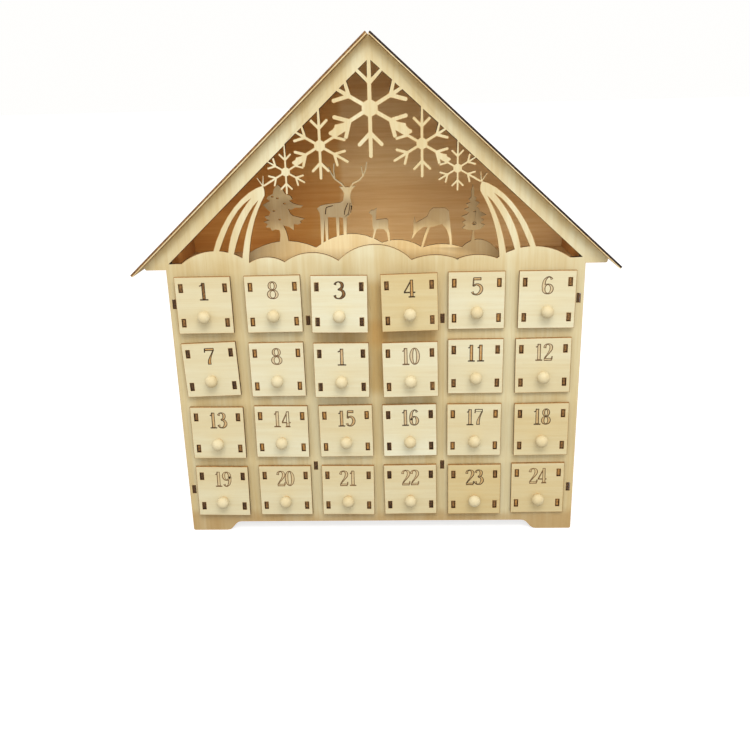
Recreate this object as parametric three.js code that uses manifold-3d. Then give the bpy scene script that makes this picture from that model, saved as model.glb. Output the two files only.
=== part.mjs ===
// Drawer advent calendar: a plywood house with 24 small drawers and a fretwork gable.
// Millimetres, +Z up, the front faces -Y and the house stands on its feet at Z = 0.
import * as THREE from 'three';
import { mergeVertices } from 'three/addons/utils/BufferGeometryUtils.js';
import Module from 'manifold-3d';

const wasm = await Module();
wasm.setup();

// Boards and the gaps between them
const ply = 2;
const glueGap = 0.1;
const slotGap = 0.5;
const tabHeight = 6;

// Drawer grid
const columns = 6;
const rows = 4;
const columnPitch = 49;
const rowPitch = 50.1;
const bottomRowHeight = 36.4;

// House outline, shared by the front and back panels
const sideMargin = 3;
const topMargin = 25.3;
const wingReach = 15.5;
const wingEdge = 2.9;
const wingRound = 1.5;
const roofPitch = THREE.MathUtils.degToRad(42.4);
const footHeight = 7.5;
const footWidth = 27;
const footSweep = 12;
const footRound = 1.5;
const innerDepth = 68;

// Roof boards
const roofEaveOverhang = 9.2;
const roofFrontOverhang = 8;
const roofBackOverhang = 5;
const roofSeatGap = 0.3;

// One drawer: a face board glued to the front of a tray
const sideSpacing = 32;
const sideHeight = 35;
const backHeight = 28;
const bottomLift = 3;
const faceSideLip = 3.3;
const faceTopLip = 3.6;
const trayRearGap = 4;
const knobDrop = 7.7;
const knobRadius = 4.6;
const knobHeight = 9;
const knobFootRadius = 3;
const knobFlattening = 0.86;

// Play of a drawer in its hole
const sidePlay = 1.1;
const topPlay = 1.4;
const runGap = 0.3;
const closedGap = 0.3;

// How each drawer stands in the photo: millimetres open, degrees of roll, millimetres to the right
const photographed = [
  [[3.2, 0, -0.8], [3, 0.3, 0.6], [7, -0.7, -0.5], [5.7, 1, 0.7], [1.1, 0, -0.3], [2.2, -0.3, 0.7]],
  [[1.8, 1.8, -0.4], [2.3, 0.2, 0.2], [6, -0.4, -0.8], [7, 0.8, 0.7], [0.5, 0, -0.3], [0.9, 0.5, 0]],
  [[3.3, -0.5, 0.8], [2.2, -0.6, 0.5], [2, 0.3, 0.5], [2.1, 0.7, -0.2], [1.8, 0, -0.8], [2.6, 0.5, 0.4]],
  [[2.1, -0.9, 0.2], [1.3, -0.3, 0.4], [1.9, -0.6, 0.4], [1.4, 0.5, -0.3], [1.7, 0.2, 0], [0, 0.4, -0.1]],
];

// Boards between the panels
const wallInset = 3.6;
const floorBelowEaves = 0.5;
const shelfTabLength = 20;
const dividerTabAboveBottomRow = 19.7;
const dividerTabBelowTopRow = 13.7;

// Gable opening and its hills
const gableBand = 11.1;
const sillAboveEaves = 4.4;
const frontHills = [
  { from: -138.2, to: -88.9, rise: 8.8 },
  { from: -88.9, to: -63.8, rise: 3.7 },
  { from: -63.8, to: -24.6, rise: 6.4 },
  { from: -25.6, to: 27.1, rise: 11.4 },
  { from: 27, to: 59.6, rise: 3.2 },
  { from: 59.4, to: 87.8, rise: 2.8 },
  { from: 87.4, to: 138.6, rise: 8.2 },
];

// Snowflakes hang from the gable band: six arms, each with one pair of side branches
const bigFlake = { drop: 31.2, arm: 32.6, fork: 16, branch: 12, spread: 45, width: 2.8, hub: 6.3 };
const middleFlake = { drop: 23.1, arm: 22.5, fork: 11.3, branch: 8.5, spread: 45, width: 2, hub: 4.4 };
const smallFlake = { drop: 17.7, arm: 15.2, fork: 7.9, branch: 5.9, spread: 45, width: 1.4, hub: 3.5 };
const middleFlakeX = 34.9;
const smallFlakeX = 59.2;
const flakeRoot = 1.5;
const tipChamfer = 0.3;

// Comets at both sides: a head with three curved tails that run down into the side hills
const cometHeadX = 75.6;
const cometHeadAboveSill = 53.9;
const armToComet = 18.4;
const sparkleReach = 7;
const sparkleWidth = 0.8;
const sparkleTurns = [33, 86, 124, 216];

// Winter scene on the board behind the gable opening, heights counted from the attic floor
const sceneSetback = 15;
const sceneHalfWidth = 93.5;
const sceneEndHeight = 8;
const firHole = 0.9;
const sceneHills = [
  { to: -42.2, valley: 12.2, crest: 17.2 },
  { to: 6, valley: 14.8, crest: 21.7 },
  { to: 35.1, valley: 10.8, crest: 16.5 },
  { to: 63.6, valley: 10.5, crest: 13.1 },
  { to: sceneHalfWidth, valley: 2.5, crest: 15.6 },
];

const wood = 0xe9d3a2;
const innerWood = 0xd9b987;
const knobWood = 0xf1dfb0;

// Places that follow from the sizes
const slope = Math.tan(roofPitch);
const bodyHalf = (columns * columnPitch) / 2 + sideMargin;
const wingTip = bodyHalf + wingReach;
const eavesHeight = rowHeight(0) + topMargin;
const wingTop = eavesHeight + wingEdge;
const apexHeight = wingTop + slope * wingTip;
const openingApex = apexHeight - gableBand / Math.cos(roofPitch);
const sillHeight = eavesHeight + sillAboveEaves;
const frontOfBack = ply + innerDepth;
const bodyDepth = frontOfBack + ply;
const floorTop = eavesHeight - floorBelowEaves;
const wallX = bodyHalf - wallInset;
const wallTop = apexHeight - slope * (wallX + ply / 2);
const dividerX = columnPitch;
const middleY = (ply + frontOfBack) / 2;
const trayWidth = sideSpacing + ply;
const trayDepth = frontOfBack - trayRearGap;
const wallTabHeights = [rowHeight(rows - 1), rowHeight(0)];
const dividerTabHeights = [
  rowHeight(rows - 1) + dividerTabAboveBottomRow, rowHeight(0) - dividerTabBelowTopRow];

function columnX(column) {
  return (column - (columns - 1) / 2) * columnPitch;
}

function rowHeight(row) {
  return bottomRowHeight + (rows - 1 - row) * rowPitch;
}

// Top face of the board that a row of drawers runs on
function shelfTop(row) {
  return rowHeight(row) - sideHeight / 2 - runGap;
}

function counted(length) {
  return [...Array(length).keys()];
}

// Solids

function toSolid(geometry) {
  const bare = geometry.index ? geometry.toNonIndexed() : geometry.clone();
  bare.deleteAttribute('normal');
  bare.deleteAttribute('uv');
  const merged = mergeVertices(bare, 1e-4);
  return new wasm.Manifold(new wasm.Mesh({
    numProp: 3,
    vertProperties: Float32Array.from(merged.attributes.position.array),
    triVerts: Uint32Array.from(merged.index.array),
  }));
}

function toGeometry(solid) {
  const mesh = solid.getMesh();
  const geometry = new THREE.BufferGeometry();
  geometry.setAttribute('position', new THREE.BufferAttribute(Float32Array.from(mesh.vertProperties), 3));
  geometry.setIndex(new THREE.BufferAttribute(Uint32Array.from(mesh.triVerts), 1));
  geometry.computeVertexNormals();
  return geometry;
}

function sum(solids) {
  return solids.slice(1).reduce((whole, solid) => whole.add(solid), solids[0]);
}

function joined(geometries) {
  return toGeometry(sum(geometries.map(toSolid)));
}

// An outline in X and Z becomes a board with its front face at Y = 0
function uprightBoard(shape, thickness = ply) {
  const geometry = new THREE.ExtrudeGeometry(
    shape, { depth: thickness, bevelEnabled: false, curveSegments: 8 });
  return geometry.rotateX(Math.PI / 2).translate(0, thickness, 0);
}

// An outline in Y and Z becomes a board centred on X = 0
function sideBoard(shape) {
  const geometry = new THREE.ExtrudeGeometry(shape, { depth: ply, bevelEnabled: false });
  const turn = new THREE.Matrix4().makeBasis(
    new THREE.Vector3(0, 1, 0), new THREE.Vector3(0, 0, 1), new THREE.Vector3(1, 0, 0));
  return geometry.applyMatrix4(turn).translate(-ply / 2, 0, 0);
}

// An upright board as a solid, with outlines cut right through it
function cutBoard(shape, cuts) {
  const cutters = cuts.map((cut) => toSolid(uprightBoard(cut, 3 * ply).translate(0, -ply, 0)));
  return toSolid(uprightBoard(shape)).subtract(sum(cutters));
}

function flatBoard(shape) {
  return new THREE.ExtrudeGeometry(shape, { depth: ply, bevelEnabled: false });
}

function polygon(points) {
  return new THREE.Shape(points.map(([x, y]) => new THREE.Vector2(x, y)));
}

function rectangle(centreX, centreY, width, height) {
  const [x0, x1] = [centreX - width / 2, centreX + width / 2];
  const [y0, y1] = [centreY - height / 2, centreY + height / 2];
  return polygon([[x0, y0], [x1, y0], [x1, y1], [x0, y1]]);
}

// A straight strip with a blunt tip from a point, by its direction in degrees
function strip(x, z, degrees, length, width) {
  const angle = THREE.MathUtils.degToRad(degrees);
  const [alongX, alongZ] = [Math.cos(angle), Math.sin(angle)];
  const at = (along, across) => [x + alongX * along - alongZ * across, z + alongZ * along + alongX * across];
  const half = width / 2;
  const corner = tipChamfer * width;
  return polygon([
    at(0, -half), at(length - corner, -half), at(length, corner - half),
    at(length, half - corner), at(length - corner, half), at(0, half),
  ]);
}

function node(name, geometry, colour, roughness = 0.75) {
  const material = new THREE.MeshStandardMaterial({ color: colour, roughness, metalness: 0 });
  const mesh = new THREE.Mesh(geometry, material);
  mesh.name = name;
  return mesh;
}

// House outline: two feet, straight sides, wings under the eaves and the gable
function houseOutline() {
  const footInner = bodyHalf - footWidth;
  const shape = new THREE.Shape();
  shape.moveTo(-bodyHalf + footRound, 0);
  shape.lineTo(-footInner, 0);
  shape.bezierCurveTo(
    -footInner + footSweep / 2, 0, -footInner + footSweep / 2, footHeight,
    -footInner + footSweep, footHeight);
  shape.lineTo(footInner - footSweep, footHeight);
  shape.bezierCurveTo(
    footInner - footSweep / 2, footHeight, footInner - footSweep / 2, 0, footInner, 0);
  shape.lineTo(bodyHalf - footRound, 0);
  shape.quadraticCurveTo(bodyHalf, 0, bodyHalf, footRound);
  shape.lineTo(bodyHalf, eavesHeight);
  shape.lineTo(wingTip - wingRound, eavesHeight);
  shape.quadraticCurveTo(wingTip, eavesHeight, wingTip, wingTop);
  shape.lineTo(0, apexHeight);
  shape.lineTo(-wingTip, wingTop);
  shape.quadraticCurveTo(-wingTip, eavesHeight, -wingTip + wingRound, eavesHeight);
  shape.lineTo(-bodyHalf, eavesHeight);
  shape.lineTo(-bodyHalf, footRound);
  shape.quadraticCurveTo(-bodyHalf, 0, -bodyHalf + footRound, 0);
  return shape;
}

// Slots that the walls' and dividers' tabs pass through
function uprightSlots() {
  const slot = (x, z) => rectangle(x, z, ply + 2 * slotGap, tabHeight + 2 * slotGap);
  return [-1, 1].flatMap((side) => [
    ...wallTabHeights.map((z) => slot(side * wallX, z)),
    ...dividerTabHeights.map((z) => slot(side * dividerX, z)),
  ]);
}

function drawerHole(row, column) {
  const bottom = shelfTop(row);
  const top = rowHeight(row) + sideHeight / 2 + topPlay;
  return rectangle(columnX(column), (bottom + top) / 2, trayWidth + 2 * sidePlay, top - bottom);
}

function gableOpening() {
  const corner = (openingApex - sillHeight) / slope;
  return polygon([[-corner, sillHeight], [corner, sillHeight], [0, openingApex]]);
}

// A hill on the sill, as an arc through its two feet and its crest
function frontHill({ from, to, rise }) {
  const half = (to - from) / 2;
  const radius = (half * half + rise * rise) / (2 * rise);
  const edge = Math.acos(half / radius);
  const shape = new THREE.Shape();
  shape.absarc((from + to) / 2, sillHeight + rise - radius, radius, edge, Math.PI - edge, false);
  shape.lineTo(from, sillHeight - ply);
  shape.lineTo(to, sillHeight - ply);
  return shape;
}

// A point at a distance and a direction in degrees from another
function polar(x, z, degrees, reach) {
  const angle = THREE.MathUtils.degToRad(degrees);
  return [x + Math.cos(angle) * reach, z + Math.sin(angle) * reach];
}

// Height of a flake's middle that hangs at a distance from the gable's middle
function flakeHeight(x, drop) {
  return openingApex - slope * Math.abs(x) - drop;
}

function snowflake(x, { drop, arm, fork, branch, spread, width, hub }, outerArm = arm) {
  const z = flakeHeight(x, drop);
  const reaches = [drop + flakeRoot, arm, x < 0 ? outerArm : arm, arm, x > 0 ? outerArm : arm, arm];
  const arms = reaches.flatMap((reach, turn) => {
    const degrees = 90 + 60 * turn;
    const forkPoint = polar(x, z, degrees, fork);
    return [
      strip(x, z, degrees, reach, width),
      strip(...forkPoint, degrees - spread, branch, width),
      strip(...forkPoint, degrees + spread, branch, width),
    ];
  });
  return [polygon(counted(6).map((turn) => polar(x, z, 30 + 60 * turn, hub))), ...arms];
}

// A plate that fills the space between the arms of two neighbouring flakes
function flakeLink(side, innerX, inner, outerX, outer) {
  const away = side > 0 ? -30 : 210;
  const from = [side * innerX, flakeHeight(innerX, inner.drop)];
  const to = [side * outerX, flakeHeight(outerX, outer.drop)];
  const outerFork = polar(...to, away + 180, outer.fork);
  return polygon([
    polar(...from, away, inner.fork),
    polar(...outerFork, away + 180 - side * outer.spread, outer.branch),
    polar(...from, away, inner.arm),
    outerFork,
    polar(...to, away + 180, outer.arm),
  ]);
}

// One comet, drawn for the right-hand side in heights above the sill and mirrored for the left
function comet(side) {
  const shape = new THREE.Shape();
  const at = (x, rise) => [side * x, sillHeight + rise];
  shape.moveTo(...at(cometHeadX, cometHeadAboveSill));
  shape.bezierCurveTo(...at(88, 51.6), ...at(107, 33.6), ...at(115.5, 5.6));
  shape.lineTo(...at(111.6, 5.6));
  shape.bezierCurveTo(...at(106, 17), ...at(100, 36), ...at(84.5, 45.6));
  shape.bezierCurveTo(...at(92.5, 37), ...at(101.5, 24), ...at(104.2, 5.6));
  shape.lineTo(...at(100.2, 4.6));
  shape.bezierCurveTo(...at(97, 16), ...at(90.5, 34), ...at(79.6, 44));
  shape.bezierCurveTo(...at(84.5, 36.5), ...at(91.5, 22), ...at(94.2, 1.6));
  shape.lineTo(...at(89.4, -1.4));
  shape.quadraticCurveTo(...at(87.4, 27), ...at(74.9, 47.1));
  shape.quadraticCurveTo(...at(74.4, 50.6), ...at(cometHeadX, cometHeadAboveSill));
  return shape;
}

// Thin rays that spray outward from a comet's head
function sparkle(side) {
  return sparkleTurns.map((turn) => {
    const degrees = side > 0 ? 180 - turn : turn;
    const root = [side * cometHeadX, sillHeight + cometHeadAboveSill - sparkleWidth / 2];
    return strip(...root, degrees, sparkleReach, sparkleWidth);
  });
}

function frontPanel() {
  const holes = counted(rows).flatMap((row) => (
    counted(columns).map((column) => drawerHole(row, column))));
  const fretwork = [
    ...frontHills.map(frontHill),
    ...snowflake(0, bigFlake),
    ...[-1, 1].flatMap((side) => [
      ...snowflake(side * middleFlakeX, middleFlake),
      ...snowflake(side * smallFlakeX, smallFlake, armToComet),
      flakeLink(side, 0, bigFlake, middleFlakeX, middleFlake),
      flakeLink(side, middleFlakeX, middleFlake, smallFlakeX, smallFlake),
      comet(side),
      ...sparkle(side),
    ]),
  ];
  const outline = houseOutline();
  const lace = sum(fretwork.map((shape) => toSolid(uprightBoard(shape))));
  const board = cutBoard(outline, [gableOpening(), ...uprightSlots(), ...holes]);
  return toGeometry(board.add(lace.intersect(toSolid(uprightBoard(outline)))));
}

function backPanel() {
  return toGeometry(cutBoard(houseOutline(), uprightSlots()));
}

// Board edge running up one side with tabs standing out of it
function edgeWithTabs(edge, tip, tabs, length) {
  return tabs.flatMap((at) => [
    [edge, at - length / 2], [tip, at - length / 2], [tip, at + length / 2], [edge, at + length / 2]]);
}

// An upright board between the panels, with tabs through both of them
function uprightOutline(bottom, top, tabs) {
  const front = ply + glueGap;
  const back = frontOfBack - glueGap;
  const backEdge = edgeWithTabs(back, bodyDepth, tabs, tabHeight);
  const frontEdge = edgeWithTabs(front, 0, tabs, tabHeight).reverse();
  return polygon([[front, bottom], [back, bottom], ...backEdge, [back, top], [front, top], ...frontEdge]);
}

// Heights of the boards whose side tabs pass through the walls
function boardBottoms() {
  return [floorTop - ply, ...counted(rows).map((row) => shelfTop(row) - ply)];
}

function wall() {
  const slots = boardBottoms().map((bottom) => {
    const slot = rectangle(middleY, bottom + ply / 2, shelfTabLength + 2 * slotGap, ply + 2 * slotGap);
    return toSolid(sideBoard(slot).scale(2, 1, 1));
  });
  const outline = uprightOutline(footHeight, wallTop, wallTabHeights);
  return toGeometry(toSolid(sideBoard(outline)).subtract(sum(slots)));
}

function divider() {
  const bottom = shelfTop(rows - 1) + glueGap;
  const top = floorTop - ply - glueGap;
  return toSolid(sideBoard(uprightOutline(bottom, top, dividerTabHeights)));
}

// A level board between the walls, with one tab through each wall
function levelOutline() {
  const wallOuter = wallX + ply / 2;
  const side = wallX - ply / 2 - glueGap;
  const front = ply + glueGap;
  const back = frontOfBack - glueGap;
  const [low, high] = [middleY - shelfTabLength / 2, middleY + shelfTabLength / 2];
  return polygon([
    [-side, front], [side, front], [side, low], [wallOuter, low], [wallOuter, high], [side, high],
    [side, back], [-side, back], [-side, high], [-wallOuter, high], [-wallOuter, low], [-side, low],
  ]);
}

// The middle shelves and the dividers cross each other and are glued into one rack
function drawerRack() {
  const shelves = counted(rows - 1).map((row) => (
    toSolid(flatBoard(levelOutline()).translate(0, 0, shelfTop(row) - ply))));
  const dividers = [-dividerX, dividerX].map((x) => divider().translate(x, 0, 0));
  return toGeometry(sum([...shelves, ...dividers]));
}

function roofBoard(side) {
  const depth = roofFrontOverhang + bodyDepth + roofBackOverhang;
  const reach = wingTip / Math.cos(roofPitch) + roofEaveOverhang;
  const board = new THREE.BoxGeometry(reach, depth, ply);
  board.translate(glueGap + reach / 2, depth / 2 - roofFrontOverhang, roofSeatGap + ply / 2);
  board.rotateY(roofPitch);
  board.translate(0, 0, apexHeight);
  if (side < 0) {
    board.rotateZ(Math.PI).translate(0, bodyDepth - roofFrontOverhang + roofBackOverhang, 0);
  }
  return board;
}

// Figures of the winter scene

function sceneGround() {
  const shape = new THREE.Shape();
  shape.moveTo(-sceneHalfWidth, glueGap);
  shape.lineTo(-sceneHalfWidth, sceneEndHeight);
  let last = { to: -sceneHalfWidth, valley: sceneEndHeight };
  sceneHills.forEach((hill) => {
    const pull = 2 * hill.crest - (last.valley + hill.valley) / 2;
    shape.quadraticCurveTo((last.to + hill.to) / 2, pull, hill.to, hill.valley);
    last = hill;
  });
  shape.lineTo(sceneHalfWidth, glueGap);
  return shape;
}

// The firs are ragged, with twigs at both sides
function leftFir() {
  return polygon([
    [-68.9, 14], [-67.8, 21.8], [-68.3, 25.4], [-71.5, 25.9], [-73.7, 24.9], [-75.1, 27.4], [-78.3, 27.5],
    [-76.4, 29.8], [-79.4, 31.4], [-75, 32.7], [-76.9, 33.3], [-78.5, 35.2], [-75.2, 36], [-74, 38.5],
    [-76.2, 40.4], [-79.2, 43.6], [-76.6, 45], [-73.8, 46.3], [-76.2, 48], [-75.2, 49.6], [-71.6, 51.2],
    [-70.6, 54.6], [-67.6, 57.6], [-64.4, 54.4], [-62.6, 51], [-59.2, 49.8], [-57.6, 47.2], [-60.1, 46.2],
    [-57.4, 44.3], [-53.8, 43.1], [-50.4, 42.6], [-51.8, 41], [-56.1, 41.2], [-58.7, 39.7], [-61.2, 40.4],
    [-59.6, 36.8], [-57.9, 35.4], [-54.3, 34.4], [-49.8, 33.2], [-53, 31.6], [-52.1, 30.2], [-54.4, 29],
    [-57.5, 29.6], [-57.9, 25.1], [-61.2, 27.6], [-65.2, 28.6], [-63.6, 24.6], [-62.7, 21], [-61.7, 14],
  ]);
}

function rightFir() {
  return polygon([
    [69.9, 13], [70.8, 19.1], [71.4, 22.7], [68.2, 22.8], [63.6, 24.1], [66, 26.2], [63.7, 28.4],
    [66.6, 29.8], [63.3, 32.6], [66.9, 33.8], [68.5, 35.3], [65, 37.6], [68.4, 38.7], [66.4, 41.3],
    [69.4, 42.4], [68.2, 44.4], [70.1, 46.1], [69.9, 50.3], [71.1, 55.2], [72, 50.4], [71.9, 46.6],
    [73.9, 45.6], [72.8, 43.5], [75.9, 42], [73.6, 39.3], [75.7, 37.8], [76.5, 35.8], [80.8, 33.4],
    [76.5, 31.9], [79.4, 29.7], [76.6, 27.6], [80.1, 26.3], [76.5, 23.1], [72.6, 22.7], [72.3, 19.1],
    [73.2, 13],
  ]);
}

function firHoles() {
  const places = [
    [-71.4, 39.2], [-67.6, 33], [-68.3, 48.1], [-72, 49.3], [-63.5, 44.2], [72.4, 36.2], [71.6, 27.4]];
  return places.map(([x, z]) => strip(x - firHole, z, 0, 2 * firHole, firHole));
}

function stag() {
  const body = polygon([
    [-40.3, 40.3], [-38.6, 37.1], [-38.3, 33.5], [-38.4, 14.5], [-36.8, 14.5], [-35.2, 32.1], [-34.9, 16.5],
    [-33.1, 16.5], [-32.7, 33.9], [-27, 33.7], [-26.8, 18.5], [-25, 18.5], [-24.5, 33.7], [-21.8, 33.3],
    [-21.8, 19.5], [-19.7, 19.5], [-19, 33.1], [-16, 36.9], [-15, 41.9], [-16, 47.2], [-15.8, 50.5],
    [-14.7, 53.1], [-11.9, 55.9], [-16, 54.9], [-19.6, 54.9], [-23.8, 55.3], [-21.6, 52.9],
    [-20.4, 50.5], [-21.4, 45.4], [-23.6, 44.1], [-33.7, 43.1], [-38, 42.1],
  ]);
  const antlers = [
    strip(-19.2, 53.7, 129, 5.4, 1.1), strip(-22.4, 57.5, 143, 5.6, 1.1), strip(-26.6, 60.5, 121, 5.2, 1),
    strip(-29.1, 64.6, 112, 4.8, 0.9), strip(-26.6, 60.5, 97, 6.6, 0.9), strip(-27.3, 66.5, 84, 5, 0.9),
    strip(-16.2, 53.9, 56, 5, 1.1), strip(-13.6, 57.5, 25, 4.8, 1.1), strip(-9.4, 59.4, 48, 5.2, 1),
    strip(-6.2, 62.9, 68, 5.2, 0.9), strip(-4.5, 67.4, 80, 4.6, 0.9), strip(-6.6, 62.7, 100, 6.4, 0.9),
  ];
  return [body, ...antlers];
}

function fawn() {
  return polygon([
    [-3, 36.5], [-0.7, 34.5], [-0.9, 27], [0.2, 23.5], [-1.8, 15.1], [-0.6, 15.1], [1.4, 22.5], [2.5, 24.9],
    [7.4, 24.5], [9.5, 21.7], [10.5, 15.1], [11.8, 15.1], [11.5, 21.9], [10.7, 25.3], [10.6, 31.1],
    [9.1, 32.1], [2, 31.4], [2.1, 36.3], [2.5, 39.8], [0.6, 38.3], [-1.6, 38.2],
  ]);
}

function doe() {
  return polygon([
    [27.1, 17.4], [28.4, 17.7], [30.6, 21.4], [35.6, 25.4], [38.7, 25.7], [36.5, 19.8], [33.4, 9.1],
    [35, 9.1], [38.5, 19.8], [40.7, 25.3], [43.5, 25.7], [49.2, 27.4], [52.4, 23.8], [54.2, 18.7],
    [55.3, 9.1], [56.8, 9.1], [56.2, 18.7], [55.4, 24.5], [54.8, 30.9], [54.2, 36.6], [51.3, 38.8],
    [42.8, 39], [40.6, 37.2], [38.5, 33], [34.2, 30.6], [30.6, 28.9], [29.6, 33.2], [28.7, 29.3],
    [28.6, 21.4],
  ]);
}

function scenePanel() {
  const firs = sum([leftFir(), rightFir()].map((shape) => cutBoard(shape, firHoles())));
  const others = [sceneGround(), ...stag(), fawn(), doe()];
  return toGeometry(sum([firs, ...others.map((shape) => toSolid(uprightBoard(shape)))]));
}

// Drawer pieces, about the centre of the face board, whose back lies at Y = 0

function drawerBox() {
  const low = -sideHeight / 2;
  const face = new THREE.BoxGeometry(trayWidth + 2 * faceSideLip, ply, sideHeight + 2 * faceTopLip);
  const side = new THREE.BoxGeometry(ply, trayDepth, sideHeight);
  const bottom = new THREE.BoxGeometry(sideSpacing, trayDepth, ply);
  const back = new THREE.BoxGeometry(sideSpacing, ply, backHeight);
  const middle = (trayDepth - glueGap) / 2;
  return joined([
    face.translate(0, -ply / 2, 0),
    side.clone().translate(-sideSpacing / 2, middle, 0),
    side.translate(sideSpacing / 2, middle, 0),
    bottom.translate(0, middle, low + bottomLift + ply / 2),
    back.translate(0, trayDepth - glueGap - ply / 2, low + bottomLift + backHeight / 2),
  ]);
}

// A turned knob that stands out of the face: a short neck under a flattened ball
function knobTurning() {
  const halfBall = knobRadius * knobFlattening;
  const centre = knobHeight - halfBall;
  const ball = counted(5).map((step) => {
    const angle = -Math.PI / 3 + (step * Math.PI) / 6;
    return new THREE.Vector2(knobRadius * Math.cos(angle), centre + halfBall * Math.sin(angle));
  });
  const profile = [new THREE.Vector2(0, 0), new THREE.Vector2(knobFootRadius, 0), ...ball,
    new THREE.Vector2(0, knobHeight)];
  return new THREE.LatheGeometry(profile, 12).rotateZ(Math.PI);
}

function twoDigits(number) {
  return String(number).padStart(2, '0');
}

function drawer(row, column) {
  const [open, roll, shift] = photographed[row][column];
  const turn = THREE.MathUtils.degToRad(roll);
  const lift = (Math.sin(Math.abs(turn)) * trayWidth) / 2;
  const day = twoDigits(row * columns + column + 1);
  const group = new THREE.Group();
  group.position.set(columnX(column) + shift, -closedGap - open, rowHeight(row) + lift);
  group.rotation.y = -turn;
  const box = node(`drawer_${day}`, drawerBox(), wood, 0.7);
  const knob = node(`knob_${day}`, knobTurning(), knobWood, 0.55);
  knob.position.set(0, -ply - glueGap, -knobDrop);
  group.add(box, knob);
  return group;
}

function moved(mesh, x, y, z) {
  mesh.position.set(x, y, z);
  return mesh;
}

function carcass() {
  const group = new THREE.Group();
  group.add(
    node('front_panel', frontPanel(), wood),
    moved(node('back_panel', backPanel(), innerWood), 0, frontOfBack, 0),
    moved(node('left_wall', wall(), wood), -wallX, 0, 0),
    moved(node('right_wall', wall(), wood), wallX, 0, 0),
    moved(node('base_board', flatBoard(levelOutline()), innerWood), 0, 0, shelfTop(rows - 1) - ply),
    moved(node('attic_floor', flatBoard(levelOutline()), innerWood), 0, 0, floorTop - ply),
    node('drawer_rack', drawerRack(), innerWood),
    node('roof_left', roofBoard(-1), wood),
    node('roof_right', roofBoard(1), wood),
    moved(node('scene_panel', scenePanel(), innerWood), 0, sceneSetback, floorTop),
  );
  return group;
}

const mostOpen = Math.max(...photographed.flat().map(([open]) => open));
const foremost = closedGap + mostOpen + ply + glueGap + knobHeight;
const rearmost = bodyDepth + roofBackOverhang;

const group = new THREE.Group();
group.position.y = (foremost - rearmost) / 2;
group.add(carcass());
counted(rows).forEach((row) => counted(columns).forEach((column) => group.add(drawer(row, column))));

export default group;
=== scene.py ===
"""Looks of a house-shaped plywood advent calendar with small sliding drawers."""

import logging
import math
from collections.abc import Callable, Iterable, Iterator
from contextlib import contextmanager
from dataclasses import dataclass, field, replace
from enum import Enum

import bmesh
import bpy
from mathutils import Matrix, Vector


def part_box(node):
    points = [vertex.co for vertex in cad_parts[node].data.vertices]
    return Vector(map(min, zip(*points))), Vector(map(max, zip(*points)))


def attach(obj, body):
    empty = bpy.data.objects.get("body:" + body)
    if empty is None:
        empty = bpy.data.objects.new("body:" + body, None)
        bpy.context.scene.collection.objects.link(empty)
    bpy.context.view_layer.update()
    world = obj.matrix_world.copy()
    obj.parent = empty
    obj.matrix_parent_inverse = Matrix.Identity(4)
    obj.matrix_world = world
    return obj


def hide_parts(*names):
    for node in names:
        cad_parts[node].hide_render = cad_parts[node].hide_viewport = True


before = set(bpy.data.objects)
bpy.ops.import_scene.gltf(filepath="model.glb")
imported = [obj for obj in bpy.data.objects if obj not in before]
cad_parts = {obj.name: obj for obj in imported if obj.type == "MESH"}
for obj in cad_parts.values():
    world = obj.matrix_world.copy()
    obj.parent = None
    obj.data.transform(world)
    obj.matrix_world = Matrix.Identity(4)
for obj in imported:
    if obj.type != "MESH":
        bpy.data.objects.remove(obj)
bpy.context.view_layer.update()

log = logging.getLogger("advent_calendar")
MM = 0.001  # one millimetre in metres
PAINT = "finish"  # colour attribute that holds scorch and tone
ROOF_LEAN = math.radians(42.4)  # slope of both roof boards
GABLE_BAND = 11.1  # width of the plain band under the roof line, in millimetres
SILL = 216.4  # height of the gable opening's sill, in millimetres
MERGE = 1e-6  # distance within which doubled points merge, in metres
DIGIT_WIDTH = 0.6  # width of a digit, in digit units
CHARRED = 0.95  # scorch of a cut through a whole board

Piece = bpy.types.Object
Socket = bpy.types.NodeSocket
Group = bpy.types.NodeTree
Triple = tuple[float, float, float]
Colour = tuple[float, float, float, float]
Loop = list[Vector]
FaceRule = Callable[[Vector, Vector], bool]
CornerRule = Callable[[bpy.types.MeshPolygon, bpy.types.MeshVertex], tuple[float, float]]


def srgb(red: int, green: int, blue: int) -> Colour:
    """Turn a screen colour, 0 to 255, into the linear colour that a shader socket takes."""

    def linear(value: int) -> float:
        """Undo the screen's curve for one channel."""
        part = value / 255
        return part / 12.92 if part <= 0.04045 else ((part + 0.055) / 1.055) ** 2.4

    return linear(red), linear(green), linear(blue), 1.0


# Modelling by hand: one call for each step


def pick(*objects: Piece) -> None:
    """Leave object mode, select these objects only and make the first one active."""
    if bpy.context.object and bpy.context.object.mode != "OBJECT":
        bpy.ops.object.mode_set(mode="OBJECT")
    bpy.ops.object.select_all(action="DESELECT")
    for item in objects:
        item.select_set(True)
    if objects:
        bpy.context.view_layer.objects.active = objects[0]


@contextmanager
def editing(piece: Piece, wanted: FaceRule | None = None) -> Iterator[bool]:
    """Edit a piece's mesh and go back to object mode.

    Args:
        piece: The object to edit.
        wanted: Rule on a face's centre and normal, or None to select everything.

    Yields:
        True if anything is selected.
    """
    pick(piece)
    bpy.ops.object.mode_set(mode="EDIT")
    found = True
    if wanted is None:
        bpy.ops.mesh.select_all(action="SELECT")
    else:
        bpy.ops.mesh.select_mode(type="FACE")
        bpy.ops.mesh.select_all(action="DESELECT")
        faces = bmesh.from_edit_mesh(piece.data).faces
        chosen = [face for face in faces if wanted(face.calc_center_median(), face.normal)]
        for face in chosen:
            face.select_set(True)
        bmesh.update_edit_mesh(piece.data)
        found = bool(chosen)
    yield found
    bpy.ops.object.mode_set(mode="OBJECT")


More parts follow.
